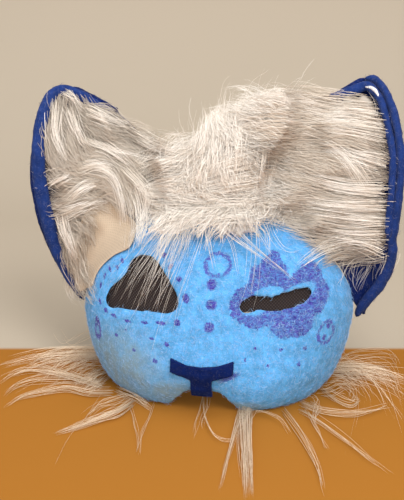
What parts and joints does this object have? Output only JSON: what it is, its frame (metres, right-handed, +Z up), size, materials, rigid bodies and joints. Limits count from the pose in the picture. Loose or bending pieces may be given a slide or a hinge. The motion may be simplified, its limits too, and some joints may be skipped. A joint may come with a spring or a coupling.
{
  "type": "felt cat mask",
  "caption": "Felt cat face mask with scooped felt ears, a felt nose, mesh-backed eye holes and long white fur on the ears, crown, cheeks and chin.",
  "frame": {"origin": "middle of the footprint, on the surface that the mask stands on", "axes": "+X to the right of someone who looks at the face, -Y the way the face looks, +Z up"},
  "size_m": [0.3054, 0.204, 0.197],
  "materials": {
    "blue_felt": "light blue felt with marker-pen spots",
    "navy_felt": "deep blue felt",
    "eye_mesh": "black woven mesh",
    "white_fur": "long warm white faux fur"
  },
  "bodies": {
    "root": {"face": "blue_felt", "eye_mesh_left": "eye_mesh", "eye_mesh_right": "eye_mesh", "nose": "navy_felt", "ear_left": "navy_felt", "ear_right": "navy_felt", "ear_fur_left": "white_fur", "ear_fur_right": "white_fur", "crown_fur": "white_fur", "cheek_fur_left": "white_fur", "cheek_fur_right": "white_fur", "chin_fur": "white_fur"}
  },
  "joints": []
}
